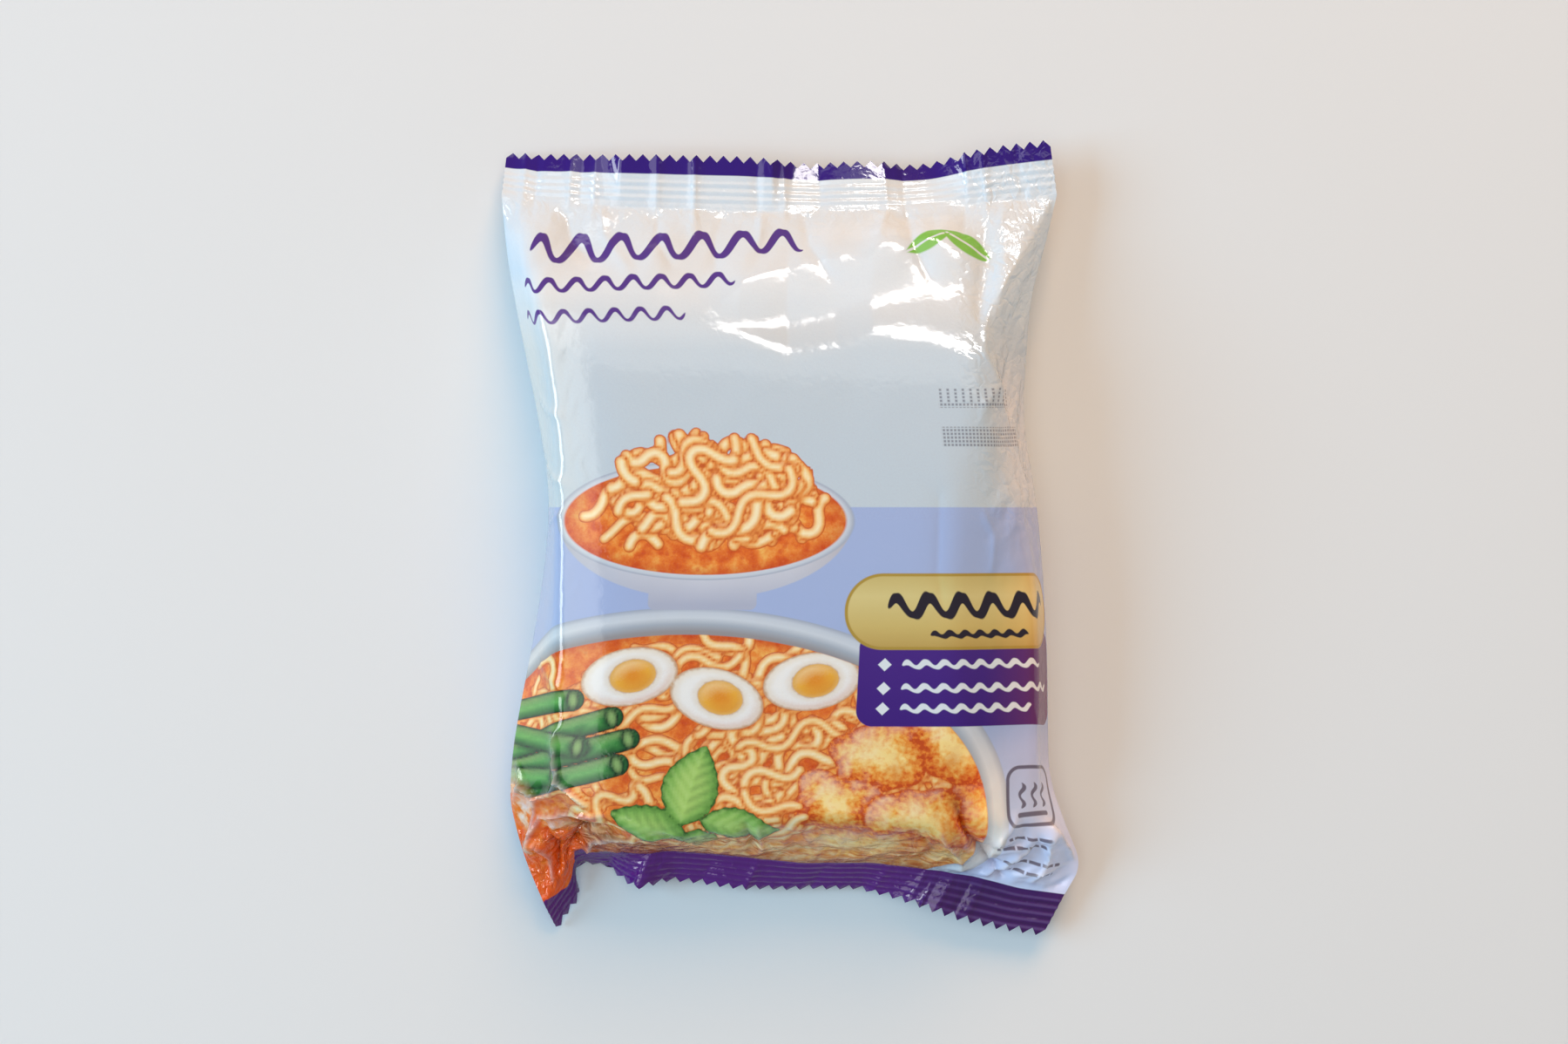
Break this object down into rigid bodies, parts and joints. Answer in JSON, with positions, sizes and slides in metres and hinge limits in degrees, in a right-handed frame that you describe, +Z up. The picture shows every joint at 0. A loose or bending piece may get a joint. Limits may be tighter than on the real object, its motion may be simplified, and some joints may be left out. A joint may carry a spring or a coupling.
{
  "type": "instant noodle packet",
  "caption": "Filled pillow packet of printed film that lies on its back, with a crimped, saw-edged seal across each end and one corner of the lower seal folded round.",
  "frame": {"origin": "centre of the packet's footprint, on the surface that it lies on", "axes": "+Z up out of the printed front, +Y along the packet to its upper seal, +X to the right of the front"},
  "size_m": [0.1368, 0.1884, 0.0331],
  "materials": {
    "printed_film": "glossy printed plastic film"
  },
  "bodies": {
    "root": {"packet": "printed_film"}
  },
  "joints": []
}
